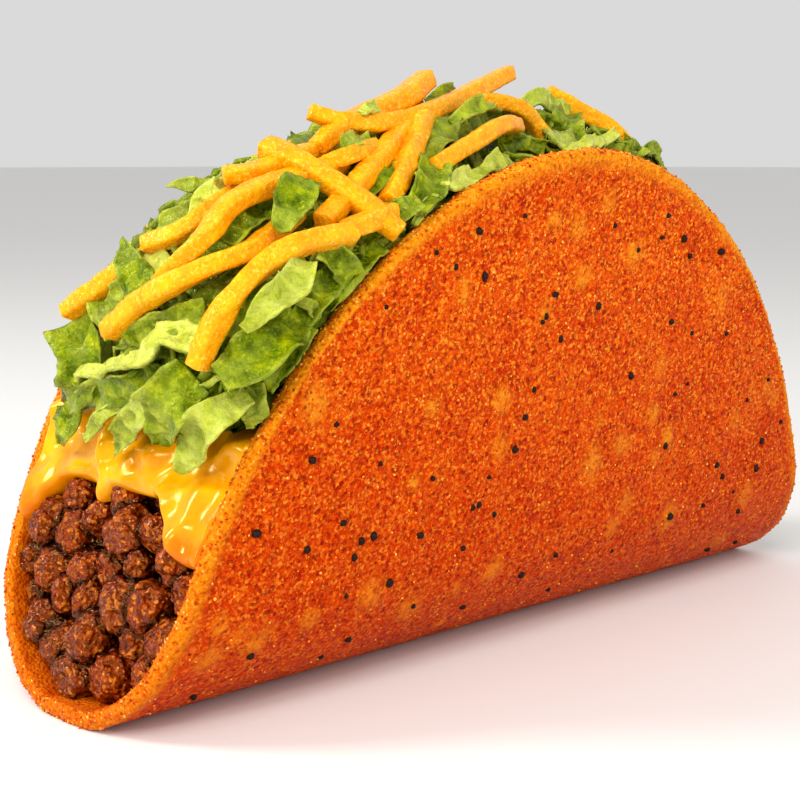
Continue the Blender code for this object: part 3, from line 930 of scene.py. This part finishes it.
def headroom(points):
    """How high the heap may rise: less on its far side, and at the right end behind the near wall."""
    x, y = points[..., 0] / MM, points[..., 1] / MM
    back = (y - 5) * np.interp(x, (-60, 0, 60), (0.66, 0.96, 1.2))
    crest = np.interp(x - back, *zip(*HEAP_OUTLINE)) * MM
    from_near_wall = points[..., 1] + 26 * MM
    over_rim = points[..., 0] - SIGHT_SLANT * from_near_wall
    hidden = rim_height(over_rim) - 0.2 * from_near_wall - 2 * MM
    step_down = 12 * MM * np.clip((24 * MM - over_rim) / (10 * MM), 0, 1)
    behind = np.where(over_rim > 14 * MM, hidden + step_down, 1)
    return np.minimum(crest, behind)


def keep_between_walls(points):
    room = half_width(points[:, 2], LEAF_GAP)
    inside = np.abs(points[:, 0]) < rim_reach(points[:, 2]) + 1 * MM
    points[:, 1] = np.where(inside, np.clip(points[:, 1], -room, room), points[:, 1])
    return points


def lettuce_core():
    """The heap's inside, (points, faces), low enough for its leaves to stay under the heap's outline."""
    points, faces = core_of("lettuce", 2.0 * MM, 1.0 * MM, 4.5 * MM)
    points[:, 2] = np.minimum(points[:, 2], np.maximum(headroom(points) - CORE_DEPTH, CORE_FLOOR))
    return points, faces


def line_on(heap, low, high, length, lifts, rng):
    """A line lying on the heap at a random place in a box, raised by the lifts, and the way out there."""
    while True:
        spot, normal, _, _ = heap.find_nearest(Vector(rng.uniform(low, high)))
        if spot.z > LINE_CENTRE_FLOOR and (normal.z > 0.3 or abs(spot.x) > rim_reach(spot.z) - 5 * MM):
            break
    spot, normal = np.array(spot), np.array(normal)
    direction = unit(np.cross(normal, rng.normal(size=3)))
    line = []
    for share, lift in zip(np.linspace(-0.5, 0.5, len(lifts)), lifts):
        near, out, _, _ = heap.find_nearest(Vector(spot + direction * share * length))
        line.append(np.maximum(np.array(near) + np.array(out) * lift, (-1, -1, LINE_FLOOR)))
    return np.array(line), normal


def sticks_out(line):
    """Whether a line reaches past the heap's far left or near right corner, as the camera sees it."""
    slant = line[:, 0] - SIGHT_SLANT * line[:, 1]
    return slant.min() < SLANT_LOW or slant.max() > SLANT_HIGH


def scattered_leaf(heap, low, high, rng):
    """The measures of a leaf that lies on the heap at a random place in a box."""
    while True:
        lifts = rng.uniform((0.7, 0.7, 0.7, 0.7), (2.7, 2.3, 2.3, 3.1)) * MM
        line, normal = line_on(heap, low, high, rng.uniform(12, 26) * MM, lifts, rng)
        if not sticks_out(line):
            break
    facing = unit(normal + 0.5 * rng.normal(size=3))
    pale = rng.choice((0.0, 0.2, 0.5, 0.9), p=(0.45, 0.3, 0.17, 0.08))
    widths = rng.uniform(3.5, 6.5) * MM * rng.uniform(0.3, 1.1, 4)
    # The last value is painted shade: scattered leaves, lying further into the heap, are coloured darker than
    # the listed ones.
    return line, widths, facing, rng.uniform(0, 0.9), rng.uniform(0.2, 0.8) * MM, pale, rng.uniform(0.5, 0.9)


def make_lettuce(core, heap, rng):
    material = lettuce_material()
    placed, scattered = [], []
    for line, widths, facing, curl, ruffle, pale in LEAVES:
        line, widths = np.array(line) * MM, np.array(widths) * MM
        placed.append(leaf_solid(line, widths, facing, curl, ruffle * MM, pale, 1.0, FRONT_LEAF_CELLS, rng))
    for count, low, high in SCATTERED_LEAVES:
        for _ in range(count):
            leaf = scattered_leaf(heap, np.array(low) * MM, np.array(high) * MM, rng)
            scattered.append(leaf_solid(*leaf, LEAF_CELLS, rng))
    for name, leaves in (("lettuce_top_leaves", placed), ("lettuce_leaves", scattered)):
        points, faces, tones = joined([solid for solid, _ in leaves])
        shades = np.concatenate([shade for _, shade in leaves])
        add_piece(name, keep_between_walls(points), faces, material, "lettuce", tone=tones, pale=shades)
    points, faces = core
    values = {"tone": np.full(len(points), CORE_SHADE), "pale": np.zeros(len(points))}
    add_piece("lettuce_core", points, faces, material, "lettuce", "lettuce", **values)


# ---- the cheese shreds

# Each shred's width, and its midline as (x, y, z), in millimetres.
SHREDS = (
    (2.7, ((-62.5, 7.5, 51), (-61, 3, 54), (-59, -1, 57), (-57, -4, 59))),
    (2.6, ((-59.5, -6, 60), (-57.5, -10, 61.5), (-53, -11, 64.5), (-48, -11, 67))),
    (2.7, ((-62, -12, 56), (-60.5, -15, 59), (-58, -17, 62), (-55, -17, 65), (-50, -17, 67),
          (-43, -17, 68.5), (-36, -16, 70))),
    (2.8, ((-64, -4, 49.5), (-63, -10, 53.5), (-62, -15, 56), (-59, -18, 58), (-54, -20, 60),
          (-46, -19, 64))),
    (2.7, ((-45, -22.5, 63), (-39.5, -21, 66), (-32, -18.5, 70.5), (-24, -15, 74.5))),
    (2.9, ((-62.5, -20, 46.5), (-61.5, -21.5, 50.5), (-60, -23.5, 54.5), (-56, -24, 58),
          (-51, -25.5, 60.5), (-43.5, -26, 61.5))),
    (2.7, ((-43.5, -25, 62), (-39.5, -25, 63), (-35, -24, 64))),
    (2.9, ((-45, -11.5, 72), (-43.5, -16.5, 70), (-40, -22, 66), (-36, -26.5, 61.5))),
    (3.3, ((-13, -8, 81.5), (-19, -10, 79), (-27, -11.5, 76.5), (-34.5, -13, 74), (-38, -13.5, 72))),
    (2.9, ((-37, -11, 76.5), (-34, -12.5, 75.5), (-29.5, -14, 75), (-21.5, -13.5, 76),
          (-10.5, -11, 78.5), (4, -8, 83))),
    (3.0, ((-20.5, -15, 76), (-27, -19, 71), (-34.5, -23, 65))),
    (2.7, ((-5.5, -11.5, 79), (1, -12.5, 78), (5.5, -12.5, 75), (8.5, -14.5, 71.5))),
    (2.7, ((-25, -21.5, 69.5), (-17, -20.5, 72.5), (-9.5, -19, 75), (-4, -17, 75))),
    (3.3, ((20.5, -1.5, 81), (24.5, -4.5, 78), (28.5, -7, 75.5), (31.5, -10, 71.5))),
    (2.6, ((-51.5, -11.5, 68.5), (-48, -13.5, 69), (-42.5, -13.5, 70.5), (-36, -12, 72))),
    (2.6, ((-39, -16.5, 70), (-36, -17.5, 71), (-31, -16.5, 72))),
)

# More shreds on the heap's far side, and the corners of the box that they lie in, in millimetres.
BACK_SHREDS = 14
BACK_SHREDS_BOX = ((-48, 6, 50), (52, 20, 80))

SHRED_DEPTH = 0.88
SHRED_SQUARENESS = 6
SHRED_RINGS = 60
SHRED_SIDES = 24

# How a shred's blunt ends close: each ring's size next to the last full one, and how far out it lies.
SHRED_END_RINGS = ((0.96, 0.09 * MM), (0.82, 0.15 * MM), (0.4, 0.17 * MM))


def shred_solid(width, line, rng):
    """One grated shred: a rough bar with rounded corners, blunt at both ends."""
    along = smooth_curve(line, SHRED_RINGS)
    tangent = unit(np.gradient(along, axis=0))
    side = unit(np.cross(tangent, (0, 0, 1)))
    up = np.cross(side, tangent)
    angle = np.linspace(0, 2 * math.pi, SHRED_SIDES, endpoint=False)
    corner = np.abs(np.cos(angle)) ** SHRED_SQUARENESS + np.abs(np.sin(angle)) ** SHRED_SQUARENESS
    radius = corner ** (-1 / SHRED_SQUARENESS)
    turn = rng.uniform(-0.5, 0.5) + np.linspace(0, rng.uniform(-0.6, 0.6), SHRED_RINGS)[:, None]
    end_sizes = (rng.uniform(0.72, 1), 1, 1, rng.uniform(0.72, 1))
    taper = np.interp(np.linspace(0, 1, SHRED_RINGS), (0, 0.2, 0.8, 1), end_sizes)
    x = radius * np.cos(angle) * width / 2
    y = radius * np.sin(angle) * width / 2 * SHRED_DEPTH
    across = (x * np.cos(turn) - y * np.sin(turn)) * taper[:, None]
    high = (x * np.sin(turn) + y * np.cos(turn)) * taper[:, None]
    rings = along[:, None] + side[:, None] * across[..., None] + up[:, None] * high[..., None]
    out = unit(rings - along[:, None])
    rough = 0.07 * field(rings, 1.5 * MM, 21) + 0.06 * field(rings, 0.8 * MM, 22)
    rough = rough + 0.10 * field(rings, 6 * MM, 23)
    rings = rings + out * rough[..., None] * MM
    ends = []
    for at, sign in ((0, -1), (-1, 1)):
        middle = rings[at].mean(axis=0)
        away = tangent[at] * sign
        ends.append([middle + (rings[at] - middle) * size + away * far for size, far in SHRED_END_RINGS])
    points, quads, caps = tube_solid(np.concatenate([np.array(ends[0][::-1]), rings, np.array(ends[1])]))
    return points, [quads, caps], rng.uniform(0, 1)


def make_cheese(heap, rng):
    solids = [shred_solid(width * MM, np.array(line) * MM, rng) for width, line in SHREDS]
    low, high = np.array(BACK_SHREDS_BOX) * MM
    for _ in range(BACK_SHREDS):
        lifts = rng.uniform(2.2, 2.8, 5) * MM
        line, _ = line_on(heap, low, high, rng.uniform(20, 34) * MM, lifts, rng)
        solids.append(shred_solid(rng.uniform(2.6, 3) * MM, line, rng))
    points, faces, tones = joined(solids)
    slot = "cheese_shreds"
    add_piece("cheese_strands", points, faces, cheese_material(), slot, slot, tone=tones)


# ---- the studio

CAMERA_PLACE = (-175.2 * MM, -171.2 * MM, 70.5 * MM)
CAMERA_AZIMUTH = math.radians(-43.92)
CAMERA_PITCH = math.radians(8.49)
CAMERA_LENS = 72.65

FLOOR_HALF_SIZE = 12
WORLD_STRENGTH = 0.70
LIGHT_TARGET = (0, 0, 35 * MM)

# Each light's name, place, size in metres, watts and colour.
LIGHTS = (
    ("key", (-0.45, -0.30, 0.50), 0.30, 2.1, (1.0, 0.98, 0.95)),
    ("front", (0.10, -0.60, 0.30), 0.45, 1.2, (1.0, 0.98, 0.96)),
    ("sparkle_left", (-0.45, 0.30, 0.42), 0.16, 2.4, (1.0, 0.98, 0.94)),
    ("sparkle_front", (-0.36, -0.46, 0.55), 0.05, 0.5, (1.0, 0.98, 0.94)),
    ("sparkle_low", (-0.60, -0.10, 0.22), 0.06, 0.8, (1.0, 0.98, 0.94)),
)


def make_floor():
    bm = bmesh.new()
    bmesh.ops.create_grid(bm, x_segments=1, y_segments=1, size=FLOOR_HALF_SIZE)
    mesh = bpy.data.meshes.new("floor")
    bm.to_mesh(mesh)
    bm.free()
    floor = bpy.data.objects.new("floor", mesh)
    n = Nodes("floor")
    mesh.materials.append(n.finish(rgb(232, 231, 229), None, 0.7, Specular_IOR_Level=0.2))
    bpy.context.scene.collection.objects.link(floor)


def add_light(name, place, size, watts, colour):
    light = bpy.data.lights.new(name, "AREA")
    light.size = size
    light.energy = watts
    light.color = colour
    obj = bpy.data.objects.new(name, light)
    obj.location = place
    obj.rotation_euler = (Vector(LIGHT_TARGET) - Vector(place)).to_track_quat("-Z", "Y").to_euler()
    bpy.context.scene.collection.objects.link(obj)


def make_studio():
    make_floor()
    scene = bpy.context.scene
    scene.view_settings.view_transform = "Standard"
    world = bpy.data.worlds.new("studio")
    world.use_nodes = True
    background = world.node_tree.nodes["Background"]
    background.inputs["Color"].default_value = (*WHITE, 1)
    background.inputs["Strength"].default_value = WORLD_STRENGTH
    scene.world = world
    for light in LIGHTS:
        add_light(*light)
    camera = bpy.data.cameras.new("camera")
    camera.lens = CAMERA_LENS
    camera.clip_start = 0.01
    obj = bpy.data.objects.new("camera", camera)
    obj.location = CAMERA_PLACE
    obj.rotation_euler = (math.pi / 2 - CAMERA_PITCH, 0, CAMERA_AZIMUTH)
    scene.collection.objects.link(obj)
    scene.camera = obj


def main():
    core = lettuce_core()
    heap = BVHTree.FromPolygons(*core)
    outer, outward, loops = make_shell(np.random.default_rng(5))
    make_grains(outer, outward, loops, np.random.default_rng(6))
    make_beef(np.random.default_rng(7))
    make_sauce()
    make_lettuce(core, heap, np.random.default_rng(8))
    make_cheese(heap, np.random.default_rng(9))
    make_studio()


main()
bpy.context.view_layer.update()
